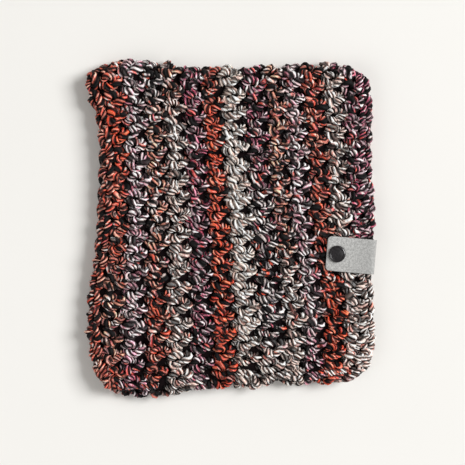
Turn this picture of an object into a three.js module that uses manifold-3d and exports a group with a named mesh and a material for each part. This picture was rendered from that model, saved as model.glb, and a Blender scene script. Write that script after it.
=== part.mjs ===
// A crocheted infinity scarf of thick yarn, laid flat: one tube of cloth whose two openings are at
// -X and +X and whose two folds lie along +Y and -Y, with a folded tag snapped over the +X rim.
// Millimetres, +Z up. The underside rests on z = 0 and the origin is the middle of its footprint.

import * as THREE from 'three';
import { mergeVertices } from 'three/addons/utils/BufferGeometryUtils.js';
import Module from 'manifold-3d';

const wasm = await Module();
wasm.setup();

// Crochet gauge. A stretch of the tube is counted in stitches around it and in rounds along it.
const STITCHES_ON_TOP = 17;
const STITCHES_AROUND = 36;
const ROUNDS_ABOVE_TAG = 13.5;
const ROUNDS_BELOW_TAG = 12.5;

// Cloth
const WALL = 6.5;
const LAYER_GAP = 1.0;
const FOLD_SLACK = 1.6;
const FOLD_SLACK_REACH = 0.08;
const RIM_BULGE = 1.8;
const RIM_THINNING = 0.8;
const RIM_THINNING_REACH = 3.0;
const RIM_SCALLOP = 0.5;

// Relief of the stitches: plump between the holes, low in the groove between two rounds
const STITCH_RISE = 1.2;
const HOLE_DEPTH = 2.9;
const HOLE_HALF_LENGTH = 0.27;
const HOLE_HALF_WIDTH = 0.3;
const GROOVE_DEPTH = 1.1;
const GROOVE_HALF_LENGTH = 0.2;
const STITCH_SHIFT_PER_ROUND = 0.5;

// Mesh steps
const STEPS_PER_STITCH = 3;
const STEPS_PER_FOLD = 6;
const STEPS_UNDERNEATH = 9;
const STEPS_PER_ROUND = 4;
const STEPS_INSIDE = 8;

// Tag: a strip folded round the rim of the upper layer, and the snap that closes it
const TAG_WIDTH = 25.4;
const TAG_THICKNESS = 1.2;
const TAG_OUTER_LEAF = 36.6;
const TAG_INNER_LEAF = 34;
const TAG_CORNER = 3;
const TAG_TURN = 4;
const TAG_FOLD_X = 107.2;
const TAG_FOLD_Y = -20.9;
const TAG_TILT = THREE.MathUtils.degToRad(5);
const TAG_STEPS_LEAF = 10;
const TAG_STEPS_TURN = 8;
const TAG_STEPS_CORNER = 3;
const TAG_STEPS_ACROSS = 6;
const CLEARANCE = 0.3;
const SNAP_FROM_TAG_FOLD = 29;
const SNAP_CAP_RADIUS = 6.2;
const SNAP_POST_RADIUS = 2.0;
const SNAP_BACK_THICKNESS = 1.2;
const SNAP_SOCKET_DEPTH = 0.6;
const HOLE_IN_TAG = 2.4;
const HOLE_IN_CLOTH = 3.0;
const ROUND_FACES = 40;

// The two openings. lay runs from -1 at the start of the -Y fold to +1 at the start of the +Y fold.
const RIMS = [
  { lay: -1.0, leftTop: -94.5, leftUnder: -94.5, right: 98.5 },
  { lay: -0.88, leftTop: -100.5, leftUnder: -99.5, right: 103.6 },
  { lay: -0.7, leftTop: -103.8, leftUnder: -102.0, right: 104.3 },
  { lay: -0.46, leftTop: -103.4, leftUnder: -101.5, right: 104.0 },
  { lay: -0.33, leftTop: -101.2, leftUnder: -100.6, right: 102.1 },
  { lay: -0.12, leftTop: -97.7, leftUnder: -98.9, right: 103.6 },
  { lay: 0.04, leftTop: -95.6, leftUnder: -97.7, right: 105.0 },
  { lay: 0.3, leftTop: -93.7, leftUnder: -96.6, right: 103.3 },
  { lay: 0.55, leftTop: -94.5, leftUnder: -96.0, right: 102.7 },
  { lay: 0.74, leftTop: -98.2, leftUnder: -97.4, right: 102.8 },
  { lay: 0.88, leftTop: -104.2, leftUnder: -102.2, right: 102.4 },
  { lay: 1.0, leftTop: -105.2, leftUnder: -105.2, right: 99.5 },
];
const CORNER_CUT_LEFT = 8;
const CORNER_CUT_RIGHT = 11;

// The outside of the two folds, from the -X opening, along 0, to the +X opening, along 1
const FOLDS = [
  { along: 0, far: 121.4, near: -120.0 },
  { along: 0.09, far: 123.8, near: -123.6 },
  { along: 0.24, far: 123.6, near: -123.3 },
  { along: 0.34, far: 120.1, near: -119.6 },
  { along: 0.5, far: 120.6, near: -116.8 },
  { along: 0.7, far: 121.8, near: -115.3 },
  { along: 0.88, far: 122.0, near: -113.9 },
  { along: 1, far: 119.4, near: -111.8 },
];

// Soft swells of the upper layer; the last is where the tag holds the two layers apart
const SWELLS = [
  { x: -58, y: 46, rise: 1.1, reach: 44 },
  { x: 22, y: -64, rise: 0.9, reach: 46 },
  { x: 36, y: 72, rise: 0.8, reach: 34 },
  { x: 81, y: -18.5, rise: 2.5, reach: 32 },
];

// A smooth curve through one column of a table, at a value of its key column
function tableValue(table, key, column, at) {
  const last = table.length - 1;
  const next = Math.min(Math.max(table.findIndex((row) => row[key] > at), 1), last);
  const i = at >= table[last][key] ? last - 1 : next - 1;
  const slope = (n) => {
    const before = table[Math.max(n - 1, 0)];
    const after = table[Math.min(n + 1, last)];
    return (after[column] - before[column]) / (after[key] - before[key]);
  };
  const span = table[i + 1][key] - table[i][key];
  const t = THREE.MathUtils.clamp((at - table[i][key]) / span, 0, 1);
  const [t2, t3] = [t * t, t * t * t];
  return (2 * t3 - 3 * t2 + 1) * table[i][column] + (t3 - 2 * t2 + t) * span * slope(i)
    + (3 * t2 - 2 * t3) * table[i + 1][column] + (t3 - t2) * span * slope(i + 1);
}

// Where a place around the tube lies: on the upper layer, a fold or the underside
function placeAround(around) {
  const v = ((around % STITCHES_AROUND) + STITCHES_AROUND) % STITCHES_AROUND;
  const top = STITCHES_ON_TOP;
  if (v <= top) return { side: 'top', lay: 2 * v / top - 1, turn: 0 };
  if (v < top + 1) return { side: 'far', lay: 1, turn: v - top };
  if (v <= 2 * top + 1) return { side: 'under', lay: 1 - 2 * (v - top - 1) / top, turn: 1 };
  return { side: 'near', lay: -1, turn: 1 - (v - 2 * top - 1) };
}

// Free height between the two layers
function layerGap(x, y, lay) {
  const slack = FOLD_SLACK * Math.exp(-(((1 - Math.abs(lay)) / FOLD_SLACK_REACH) ** 2));
  return SWELLS.reduce(
    (gap, swell) => {
      const away = Math.hypot(x - swell.x, y - swell.y) / swell.reach;
      return gap + swell.rise * Math.exp(-away * away);
    },
    LAYER_GAP + slack,
  );
}

function rimX(place, column) {
  const cut = Math.sin(Math.PI * place.turn) ** 2;
  if (column === 'right') return tableValue(RIMS, 'lay', 'right', place.lay) - CORNER_CUT_RIGHT * cut;
  const over = tableValue(RIMS, 'lay', 'leftTop', place.lay);
  const under = tableValue(RIMS, 'lay', 'leftUnder', place.lay);
  return THREE.MathUtils.lerp(over, under, place.turn) + CORNER_CUT_LEFT * cut;
}

// How many rounds of crochet lie between the two openings: the last round ends under the tag
function roundsAt(place) {
  const fewer = place.side === 'near' ? 1 : THREE.MathUtils.smoothstep(-place.lay, -0.05, 0.45);
  const ended = place.side === 'under' ? THREE.MathUtils.smoothstep(-place.lay, -0.8, 1) : fewer;
  return THREE.MathUtils.lerp(ROUNDS_ABOVE_TAG, ROUNDS_BELOW_TAG, place.side === 'far' ? 0 : ended);
}

// The middle of the wall and its outward normal
function middleOfWall(around, along) {
  const place = placeAround(around);
  const x = THREE.MathUtils.lerp(rimX(place, 'left'), rimX(place, 'right'), along);
  const far = tableValue(FOLDS, 'along', 'far', along);
  const near = tableValue(FOLDS, 'along', 'near', along);
  const radius = { far: (WALL + layerGap(x, far, 1)) / 2, near: (WALL + layerGap(x, near, -1)) / 2 };
  const start = { far: far - radius.far - WALL / 2, near: near + radius.near + WALL / 2 };
  if (place.side === 'far' || place.side === 'near') {
    const sign = place.side === 'far' ? 1 : -1;
    const bend = radius[place.side];
    const angle = Math.PI * (0.5 - place.turn);
    const normal = new THREE.Vector3(0, sign * Math.cos(angle), Math.sin(angle));
    const centre = new THREE.Vector3(x, start[place.side], WALL / 2 + bend);
    return { place, normal, point: centre.addScaledVector(normal, bend) };
  }
  const y = THREE.MathUtils.lerp(start.near, start.far, (place.lay + 1) / 2);
  const over = place.side === 'top';
  const z = over ? 1.5 * WALL + layerGap(x, y, place.lay) : WALL / 2;
  return { place, normal: new THREE.Vector3(0, 0, over ? 1 : -1), point: new THREE.Vector3(x, y, z) };
}

// Height of the stitches over the plain wall; the underside is flat
function stitchRelief(place, around, rounds) {
  const shown = THREE.MathUtils.smoothstep(1 - place.turn, 0.15, 0.6);
  const line = Math.round(rounds);
  const fromLine = rounds - line;
  const phase = around - STITCH_SHIFT_PER_ROUND * line;
  const fromHole = phase - Math.round(phase);
  const groove = Math.exp(-((fromLine / GROOVE_HALF_LENGTH) ** 2));
  const hole = Math.exp(-((fromLine / HOLE_HALF_LENGTH) ** 2) - (fromHole / HOLE_HALF_WIDTH) ** 2);
  const inside = line > 0 ? 1 : 0;
  return shown * (STITCH_RISE - inside * (GROOVE_DEPTH * groove + HOLE_DEPTH * hole));
}

// A point of the cloth. depth is 1 on the outside of the wall, -1 on the inside and 0 in the middle.
function clothPoint(around, along, depth) {
  const { place, normal, point } = middleOfWall(around, along);
  const length = rimX(place, 'right') - rimX(place, 'left');
  const fromRim = Math.min(along, 1 - along) * length;
  const thinning = RIM_THINNING * Math.exp(-((fromRim / RIM_THINNING_REACH) ** 2));
  const relief = depth > 0 ? stitchRelief(place, around, along * roundsAt(place)) : 0;
  const flat = place.side === 'under' && depth > 0;
  const offset = depth * (WALL / 2 - (flat ? 0 : thinning)) + relief;
  return point.addScaledVector(normal, offset);
}

function rimPoint(around, along) {
  const { place, point } = middleOfWall(around, along);
  const scallop = RIM_SCALLOP * Math.cos(2 * Math.PI * (around + 0.5));
  point.x += (along > 0.5 ? 1 : -1) * (RIM_BULGE + (place.side === 'under' ? 0 : scallop));
  return point;
}

// Stations around the tube, close on what shows and wide on the underside
function stationsAround() {
  const top = STITCHES_ON_TOP;
  const stretches = [
    { from: 0, to: top, steps: top * STEPS_PER_STITCH },
    { from: top, to: top + 1, steps: STEPS_PER_FOLD },
    { from: top + 1, to: 2 * top + 1, steps: STEPS_UNDERNEATH },
    { from: 2 * top + 1, to: STITCHES_AROUND, steps: STEPS_PER_FOLD },
  ];
  return stretches.flatMap(({ from, to, steps }) => (
    Array.from({ length: steps }, (_, i) => from + (to - from) * i / steps)
  ));
}

// A geometry from rings of points, each joined to the next. The last one is joined to the first,
// or with ends set the first and last rings are closed, each as a strip across its own points.
function geometryFromRings(rings, ends = false) {
  const count = rings[0].length;
  const positions = rings.flat().flatMap((p) => [p.x, p.y, p.z]);
  const index = [];
  const quad = (a, b, c, d) => index.push(a, b, c, a, c, d);
  const last = rings.length - 1;
  for (let r = 0; r < (ends ? last : last + 1); r += 1) {
    const next = (r + 1) % rings.length;
    for (let i = 0; i < count; i += 1) {
      const j = (i + 1) % count;
      quad(r * count + i, next * count + i, next * count + j, r * count + j);
    }
  }
  for (let i = 0; ends && i < count / 2 - 1; i += 1) {
    const strip = [i, i + 1, count - 2 - i, count - 1 - i];
    quad(...strip);
    quad(...strip.toReversed().map((n) => last * count + n));
  }
  const geometry = new THREE.BufferGeometry();
  geometry.setAttribute('position', new THREE.Float32BufferAttribute(positions, 3));
  geometry.setIndex(index);
  return geometry;
}

function toSolid(geometry) {
  const bare = geometry.clone();
  bare.deleteAttribute('normal');
  bare.deleteAttribute('uv');
  const merged = mergeVertices(bare, 1e-4);
  const mesh = new wasm.Mesh({
    numProp: 3,
    vertProperties: new Float32Array(merged.attributes.position.array),
    triVerts: new Uint32Array(merged.index.array),
  });
  return new wasm.Manifold(mesh);
}

function toGeometry(solid) {
  const mesh = solid.getMesh();
  const geometry = new THREE.BufferGeometry();
  geometry.setAttribute('position', new THREE.Float32BufferAttribute(mesh.vertProperties, 3));
  geometry.setIndex(Array.from(mesh.triVerts));
  return geometry;
}

// An upright round cutter between two heights
function roundCutter(centre, radius, from, to) {
  const cutter = new THREE.CylinderGeometry(radius, radius, to - from, ROUND_FACES);
  cutter.rotateX(Math.PI / 2);
  cutter.translate(centre.x, centre.y, (from + to) / 2);
  return toSolid(cutter);
}

function namedMesh(name, geometry, look) {
  geometry.computeVertexNormals();
  const mesh = new THREE.Mesh(geometry, new THREE.MeshStandardMaterial(look));
  mesh.name = name;
  return mesh;
}

// Heights of the upper layer over a point of the plan, inside and at the top of its stitches
function upperLayer(x, y) {
  const inside = WALL + layerGap(x, y, 0);
  return { inside, outside: inside + WALL + STITCH_RISE };
}

// A place on the tag in plan. fromFold runs inwards from its folded edge and across over its width.
function tagPlan(fromFold, across) {
  const [cos, sin] = [Math.cos(TAG_TILT), Math.sin(TAG_TILT)];
  return { x: TAG_FOLD_X - fromFold * cos + across * sin, y: TAG_FOLD_Y + fromFold * sin + across * cos };
}

// Stations along the tag: the outer leaf from its free end, the turn, and the inner leaf to its end
function tagStations() {
  const leaf = (name, length) => {
    const corner = Array.from({ length: TAG_STEPS_CORNER }, (_, i) => (
      TAG_CORNER * (1 - Math.cos(Math.PI / 2 * i / TAG_STEPS_CORNER))
    ));
    const straight = Array.from({ length: TAG_STEPS_LEAF }, (_, i) => (
      TAG_CORNER + (length - TAG_TURN - TAG_CORNER) * i / TAG_STEPS_LEAF
    ));
    return [...corner, ...straight].map((fromEnd) => ({ leaf: name, fromEnd, fromFold: length - fromEnd }));
  };
  const turn = Array.from({ length: TAG_STEPS_TURN + 1 }, (_, i) => ({
    leaf: 'turn', angle: Math.PI * (0.5 - i / TAG_STEPS_TURN), fromEnd: TAG_CORNER,
  }));
  return [...leaf('outer', TAG_OUTER_LEAF), ...turn, ...leaf('inner', TAG_INNER_LEAF).reverse()];
}

// A point of the tag. skin is +1 on the face away from the cloth and -1 on the face against it.
function tagPoint(at, side, skin) {
  const cut = Math.max(TAG_CORNER - at.fromEnd, 0);
  const half = TAG_WIDTH / 2 - (TAG_CORNER - Math.sqrt(TAG_CORNER ** 2 - cut ** 2));
  const plan = tagPlan(at.leaf === 'turn' ? TAG_TURN : at.fromFold, side * half);
  const cloth = upperLayer(plan.x, plan.y);
  const off = CLEARANCE + (1 + skin) * TAG_THICKNESS / 2;
  if (at.leaf === 'outer') return new THREE.Vector3(plan.x, plan.y, cloth.outside + off);
  if (at.leaf === 'inner') return new THREE.Vector3(plan.x, plan.y, cloth.inside - off);
  const reach = (TAG_TURN - (1 - skin) * TAG_THICKNESS / 2) * Math.cos(at.angle);
  const rise = ((cloth.outside - cloth.inside) / 2 + off) * Math.sin(at.angle);
  return new THREE.Vector3(
    plan.x + reach * Math.cos(TAG_TILT),
    plan.y - reach * Math.sin(TAG_TILT),
    (cloth.outside + cloth.inside) / 2 + rise,
  );
}

function tagGeometry() {
  const sides = Array.from({ length: TAG_STEPS_ACROSS + 1 }, (_, i) => 2 * i / TAG_STEPS_ACROSS - 1);
  const rings = tagStations().map((at) => [
    ...sides.map((side) => tagPoint(at, side, 1)),
    ...sides.toReversed().map((side) => tagPoint(at, side, -1)),
  ]);
  return geometryFromRings(rings, true);
}

const snapPlan = tagPlan(SNAP_FROM_TAG_FOLD, 0);
const snapCloth = upperLayer(snapPlan.x, snapPlan.y);
const capSeat = snapCloth.outside + CLEARANCE + TAG_THICKNESS + CLEARANCE;
const backSeat = snapCloth.inside - CLEARANCE - TAG_THICKNESS - CLEARANCE;
const TALL = 60;

function tubeMesh() {
  const around = stationsAround();
  const ring = (along, depth) => around.map((v) => clothPoint(v, along, depth));
  const rimRing = (along) => around.map((v) => rimPoint(v, along));
  const outerSteps = Math.round(ROUNDS_ABOVE_TAG * STEPS_PER_ROUND);
  const outer = Array.from({ length: outerSteps + 1 }, (_, i) => ring(i / outerSteps, 1));
  const inner = Array.from({ length: STEPS_INSIDE + 1 }, (_, i) => ring(1 - i / STEPS_INSIDE, -1));
  const cloth = toSolid(geometryFromRings([...outer, rimRing(1), ...inner, rimRing(0)]));
  const postHole = roundCutter(snapPlan, HOLE_IN_CLOTH, WALL + LAYER_GAP, TALL);
  const look = { color: 0x6a4a4c, roughness: 0.85, metalness: 0 };
  return namedMesh('cowl_tube', toGeometry(cloth.subtract(postHole)), look);
}

function tagMesh() {
  const strip = toSolid(tagGeometry());
  const holes = roundCutter(snapPlan, HOLE_IN_TAG, 0, TALL);
  const look = { color: 0x9b9d9b, roughness: 0.7, metalness: 0 };
  return namedMesh('tag', toGeometry(strip.subtract(holes)), look);
}

// A turned part from its outline of radius and height, which starts and ends on the axis
function turned(outline) {
  const geometry = new THREE.LatheGeometry(outline.map(([r, h]) => new THREE.Vector2(r, h)), ROUND_FACES);
  geometry.rotateX(Math.PI / 2);
  return mergeVertices(geometry, 1e-4);
}

function snapMeshes() {
  const r = SNAP_CAP_RADIUS;
  const postFoot = backSeat - SNAP_SOCKET_DEPTH + CLEARANCE - capSeat;
  const front = turned([
    [0, postFoot], [SNAP_POST_RADIUS, postFoot], [SNAP_POST_RADIUS, 0], [r, 0], [r, 0.6],
    [r - 0.35, 1.15], [r - 0.9, 1.35], [r - 1.3, 1.1], [r - 2.2, 1.25], [0, 1.5],
  ]);
  const socket = SNAP_POST_RADIUS + CLEARANCE;
  const thick = SNAP_BACK_THICKNESS;
  const back = turned([
    [0, -thick], [r - 0.5, -thick], [r, 0.4 - thick], [r, 0], [socket, 0],
    [socket, -SNAP_SOCKET_DEPTH], [0, -SNAP_SOCKET_DEPTH],
  ]);
  const look = { color: 0x17171a, roughness: 0.35, metalness: 0 };
  const cap = namedMesh('snap_cap', front, look);
  cap.position.set(snapPlan.x, snapPlan.y, capSeat);
  const socketCap = namedMesh('snap_back', back, look);
  socketCap.position.set(snapPlan.x, snapPlan.y, backSeat);
  return [cap, socketCap];
}

const scarf = new THREE.Group();
scarf.add(tubeMesh(), tagMesh(), ...snapMeshes());

export default scarf;
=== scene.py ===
"""A short infinity scarf, crocheted as a tube of thick marled yarn and laid flat in two layers, with
a faux leather tag folded over one opening and snapped shut. Metres, +Z up, in the solids' frame.

The yarn is laid stitch by stitch. A place on the cloth is given by around, counted in stitches from
the -Y fold over the upper layer to the +Y fold and back underneath, and by a round count from the
-X opening, where the crochet starts. The tables are in millimetres, in the solids' own sizes."""

import math

import bmesh
import bpy
import numpy as np
from bpy.props import FloatProperty, FloatVectorProperty, PointerProperty
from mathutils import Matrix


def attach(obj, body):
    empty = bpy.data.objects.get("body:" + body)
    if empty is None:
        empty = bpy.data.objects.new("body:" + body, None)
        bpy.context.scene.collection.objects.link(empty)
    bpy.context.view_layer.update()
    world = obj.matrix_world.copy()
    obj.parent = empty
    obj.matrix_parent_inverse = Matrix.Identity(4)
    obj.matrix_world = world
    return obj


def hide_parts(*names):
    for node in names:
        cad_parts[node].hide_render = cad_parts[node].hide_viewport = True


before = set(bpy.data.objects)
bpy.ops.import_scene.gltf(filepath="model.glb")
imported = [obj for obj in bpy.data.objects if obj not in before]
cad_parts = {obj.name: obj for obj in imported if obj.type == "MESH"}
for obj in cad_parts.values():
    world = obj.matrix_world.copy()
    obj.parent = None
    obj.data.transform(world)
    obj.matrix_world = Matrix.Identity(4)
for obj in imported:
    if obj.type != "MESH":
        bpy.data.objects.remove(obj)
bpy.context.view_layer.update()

bl_info = {
    "name": "Crocheted infinity scarf",
    "version": (1, 0, 0),
    "blender": (4, 5, 0),
    "location": "View3D > Sidebar > Scarf",
    "description": "Builds a flat crocheted tube scarf with a snap tag, stitch by stitch",
    "category": "Object",
}

MM = 0.001


def table(columns, *rows):
    """A list of rows as dictionaries, with the names of the columns given once."""
    return [dict(zip(columns.split(), row)) for row in rows]


# Gauge of the crochet and thickness of the cloth. The layers lie LAYER_GAP apart and wider at a fold
STITCHES_ON_TOP = 17
STITCHES_AROUND = 36
WALL = 6.5
LAYER_GAP = 1.0
FOLD_SLACK = 1.6
FOLD_SLACK_REACH = 0.08
SHIFT_PER_ROUND = 0.437
ROUNDS = 13
LAST_ROUND_STARTS = 7.0
FIRST_ROUND_ENDS = 34.0

# The two openings. lay runs from -1 at the start of the -Y fold to +1 at the start of the +Y fold.
RIMS = table(
    "lay left_top left_under right",
    (-1.0, -94.5, -94.5, 98.5),
    (-0.88, -100.5, -99.5, 103.6),
    (-0.7, -103.8, -102.0, 104.3),
    (-0.46, -103.4, -101.5, 104.0),
    (-0.33, -101.2, -100.6, 102.1),
    (-0.12, -97.7, -98.9, 103.6),
    (0.04, -95.6, -97.7, 105.0),
    (0.3, -93.7, -96.6, 103.3),
    (0.55, -94.5, -96.0, 102.7),
    (0.74, -98.2, -97.4, 102.8),
    (0.88, -104.2, -102.2, 102.4),
    (1.0, -105.2, -105.2, 99.5),
)
CORNER_CUT_LEFT = 8.0
CORNER_CUT_RIGHT = 11.0
CORNER_REACH = 0.22

# The outside of the two folds, from the -X opening, along 0, to the +X opening, along 1
FOLDS = table(
    "along far near",
    (0.0, 121.4, -120.0),
    (0.09, 123.8, -123.6),
    (0.24, 123.6, -123.3),
    (0.34, 120.1, -119.6),
    (0.5, 120.6, -116.8),
    (0.7, 121.8, -115.3),
    (0.88, 122.0, -113.9),
    (1.0, 119.4, -111.8),
)

# Soft swells of the upper layer; the last is where the tag holds the two layers apart
SWELLS = table(
    "x y rise reach",
    (-58.0, 46.0, 1.1, 44.0),
    (22.0, -64.0, 0.9, 46.0),
    (36.0, 72.0, 0.8, 34.0),
    (81.0, -18.5, 2.5, 32.0),
)

# The tag: the middle of its fold in plan, how far the fold's turn reaches, how it lies, where it is
# pierced for the snap, and how many lines cut the flat strip so that it can fold
TAG_FOLD = (107.2, -20.9)
TAG_TURN = 4.0
TAG_TILT = math.radians(5)
SNAP_FROM_TAG_FOLD = 29.0
SNAP_HOLE = 2.3
SNAP_POST = 2.0
CLEARANCE = 0.3
STITCH_RISE = 1.2
TAG_BEVEL = 0.22
TAG_CUTS = {"leaf": 13, "turn": 13, "inner": 12, "rows": 11}
FIRST_CUT = 2.0
PUNCH_REACH = 4.0

# The yarn that the tag holds lies within HELD_ROUND of the tag in plan and less than HELD_INSIDE under
# the layer. It is pressed to within PRESSED of the layer's faces and kept HELD_BACK from the fold.
HELD_ROUND = 0.4
HELD_INSIDE = 1.4
HELD_BACK = 1.6
PRESSED = 0.12

# The snap's cap and its socket. inwards is counted from the cap's edge, up from its foot
CAP_BAND = 0.6
CAP_RINGS = table(
    "inwards up",
    (0.12, 0.88),
    (0.36, 1.12),
    (0.98, 1.4),
    (1.16, 1.37),
    (1.42, 1.06),
    (1.7, 1.0),
    (2.3, 1.13),
    (3.4, 1.32),
    (4.6, 1.43),
    (5.8, 1.47),
)
SOCKET_THICKNESS = 1.2
SOCKET_DEPTH = 0.6
SOCKET_EDGE = 0.45
SNAP_BEVEL = 0.05

# Where the rounds lie on the upper layer: the tops of the first, twelfth and thirteenth round, and
# how far those between bow towards the +X opening. The skew puts most of the bow in later rounds.
FOUNDATION_WIDTH = 5.5
ROUND_TOPS = table(
    "lay first twelfth last bow",
    (-1.0, -80.5, 91.5, 97.0, 4.5),
    (-0.88, -82.5, 95.5, 100.5, 3.8),
    (-0.6, -82.4, 97.6, 102.5, 2.4),
    (-0.2, -80.5, 91.5, 97.0, 1.2),
    (0.06, -78.7, 87.0, 97.0, 0.4),
    (0.82, -81.0, 81.8, 95.0, -0.6),
    (1.0, -84.0, 79.5, 92.5, -0.6),
)
BOW_SKEW = 1.6
TWELFTH = 12
LOWEST_FOOT = -0.2

# How far the tops of single rounds lie from that regular place, in millimetres towards +X
ROUND_SHIFTS = table(
    "round shift",
    (0.0, 0.0),
    (5.0, 0.0),
    (6.0, -1.5),
    (7.0, 0.0),
    (8.0, 2.6),
    (9.0, 1.0),
    (10.0, 0.0),
    (15.0, 0.0),
)

# One stitch, as the way that its yarn takes. across is counted in stitches along the round, up in
# rounds from the foot of the stitch to its top, out is the height over the middle of the wall in
# millimetres, and thick scales the yarn where it is squeezed.
STITCH = table(
    "across up out thick",
    (-0.43, 0.62, 1.1, 0.96),
    (-0.14, 0.88, 2.3, 1.08),
    (0.05, 1.13, 2.2, 1.10),
    (0.21, 0.98, 0.8, 0.96),
    (0.20, 0.76, -1.6, 0.82),
    (0.06, 0.40, -2.2, 0.82),
    (-0.02, 0.07, -2.2, 0.74),
    (-0.11, 0.26, 0.6, 0.88),
    (-0.24, 0.43, 2.3, 1.12),
    (-0.27, 0.66, 2.0, 1.10),
    (-0.12, 0.82, -0.2, 0.92),
    (0.08, 0.82, -0.5, 0.92),
    (0.27, 0.67, 2.0, 1.08),
    (0.25, 0.45, 2.4, 1.12),
    (0.13, 0.27, 0.6, 0.90),
    (0.03, 0.06, -2.2, 0.74),
    (0.26, 0.34, -2.2, 0.82),
    (0.45, 0.36, -0.7, 0.90),
    (0.50, 0.46, 1.1, 1.00),
    (0.54, 0.54, 1.2, 1.00),
)

# One link of the chain along an opening. up is counted here in millimetres from its middle.
CHAIN_LINK = table(
    "across up out thick",
    (0.00, 0.0, -0.8, 0.84),
    (0.36, -2.7, 1.3, 1.04),
    (0.80, -2.1, 2.0, 1.04),
    (1.08, 0.0, 1.1, 0.96),
    (0.82, 2.3, 0.1, 1.04),
    (0.38, 2.8, -0.6, 1.04),
    (0.04, 0.4, -1.8, 0.84),
    (0.50, 0.0, -2.2, 0.80),
)
CHAIN_FROM_RIM = 2.9

# The chains. side is that of their opening, and round is their row of the chart of shades.
CHAINS = table(
    "name side round",
    ("foundation_chain", -1, 0),
    ("last_chain", 1, 14),
)

# How far a whole stitch, and each place of its way, strays from the tables, as across, up and out.
# A chain strays less.
STITCH_STRAYS = (0.04, 0.03, 0.28)
KNOT_STRAYS = (0.038, 0.03, 0.42)
STITCH_PLUMP = 0.06
CHAIN_CALM = 0.8

# Shades of the yarn on the upper layer, for each round from the -Y fold up to the +Y fold. Rows 0 and
# 14 are the chains.
YARN_CHART = table(
    "round near low middle high far",
    (0, "ember", "ember", "ember", "ember", "ember"),
    (1, "ember", "rose", "ember", "rust", "ember"),
    (2, "plum", "lilac", "lilac", "lilac", "lilac"),
    (3, "ember", "ember", "rose", "rose", "slate"),
    (4, "sand", "sand", "sand", "sand", "rose"),
    (5, "plum", "plum", "plum", "plum", "plum"),
    (6, "rust", "rust", "rust", "rust", "ember"),
    (7, "sand", "ivory", "ivory", "ivory", "ivory"),
    (8, "sand", "slate", "slate", "plum", "plum"),
    (9, "sand", "sand", "rose", "rose", "rose"),
    (10, "plum", "lilac", "lilac", "lilac", "lilac"),
    (11, "rust", "rust", "ember", "ember", "ember"),
    (12, "sand", "sand", "sand", "sand", "sand"),
    (13, "sand", "sand", "plum", "plum", "plum"),
    (14, "sand", "sand", "plum", "plum", "plum"),
)

# Each shade: how strong its black ply is, which also deepens the painted shade in the creases
# between its plies, how much it is flecked with other shades, and the colours of its three dyed plies
SHADES = table(
    "shade dark odd first second third",
    ("rust", 1.0, 0.3, (0.70, 0.060, 0.018), (0.50, 0.042, 0.018), (0.52, 0.075, 0.036)),
    ("ember", 1.0, 0.5, (0.46, 0.045, 0.02), (0.27, 0.04, 0.02), (0.50, 0.15, 0.11)),
    ("ivory", 0.4, 0.25, (0.96, 0.86, 0.79), (0.85, 0.59, 0.50), (0.95, 0.76, 0.66)),
    ("sand", 0.8, 0.6, (0.90, 0.72, 0.64), (0.68, 0.44, 0.38), (0.82, 0.60, 0.53)),
    ("lilac", 0.95, 0.7, (0.80, 0.62, 0.65), (0.46, 0.21, 0.26), (0.70, 0.51, 0.52)),
    ("plum", 1.0, 0.6, (0.16, 0.02, 0.045), (0.25, 0.07, 0.115), (0.42, 0.29, 0.32)),
    ("slate", 1.0, 0.9, (0.36, 0.32, 0.32), (0.08, 0.07, 0.08), (0.62, 0.53, 0.50)),
    ("rose", 1.0, 0.7, (0.32, 0.10, 0.08), (0.50, 0.38, 0.36), (0.54, 0.22, 0.15)),
)
DYED_PLIES = ("first", "second", "third")
PLY_SHADES = ("ply_a", "ply_b", "ply_c")

# Where the chart's columns lie, in stitches, and over which part of the way between two they blend
CHART_PLACES = {"near": 0.0, "low": 3.4, "middle": 8.5, "high": 13.6, "far": 17.0}
CHART_BLEND = (0.2, 0.8)

# How the yarn is drawn. Grooves and slubs are shares of its radius, GROOVE_BELOW of a groove lies
# under that radius, and slubs and twist change over SLUB_LENGTH. Steps along the yarn are fine where
# it shows, above the heights of SHOWN_FROM and before the underside end of a fold, FOLD_HIDES. A
# chain's face towards its opening counts as EDGE_SHOWS high, so that the painted shade of deep places
# barely darkens it.
COLUMNS_AROUND_YARN = 15
PLIES = 3
PLY_GROOVE = 0.48
PLY_ROUNDNESS = 0.7
GROOVE_BELOW = 0.8
PLY_SLUB = 0.26
SLUB_LENGTH = 7.0
TWIST_WANDER = 0.3
FINE_STEP = 1.0
COARSE_STEP = 2.3
SHOWN_FROM = (-1.8, -0.8)
FOLD_HIDES = (1.0, 0.8)
EDGE_SHOWS = 2.9
SAMPLES_PER_SPAN = 7
ANY_DIRECTION = (0.3, 0.5, 0.8)
STRIPS_ACROSS_MAP = 3
MAP_MARGIN_ALONG = 0.02
MAP_MARGIN_ACROSS = 0.05
SEED = 11
FLOOR_CLEARANCE = 0.15
UNDERSIDE_SQUASH = 0.72

# The tube that stands for the crochet deep behind the stitches, near black as painted shade: from where
# to where its rings go and how many there are, how far its front lies over the middle of the wall, and
# its steps around, in stitches
SHADE_SHEET_REACH = (0.02, 0.98)
SHADE_SHEET_RINGS = 44
SHADE_SHEET_OUT = -0.3
SHADE_SHEET_STEP = 0.25

# The stage, with places and sizes in metres, power in watts, and lens and sensor in millimetres
FLOOR_WIDTH = 6.0
LIGHTS = table(
    "name place size power",
    ("window", (3.4, 1.0, 3.0), 2.1, 238.0),
    ("fill", (-0.7, -0.5, 0.9), 0.9, 3.2),
)
ROOM_COLOUR = (1.0, 0.975, 0.94, 1.0)
ROOM_STRENGTH = 0.31
CAMERA_PLACE = (0.00155, -0.0026, 0.9)
CAMERA_LENS = 92.9
CAMERA_SENSOR = 36.0


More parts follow.
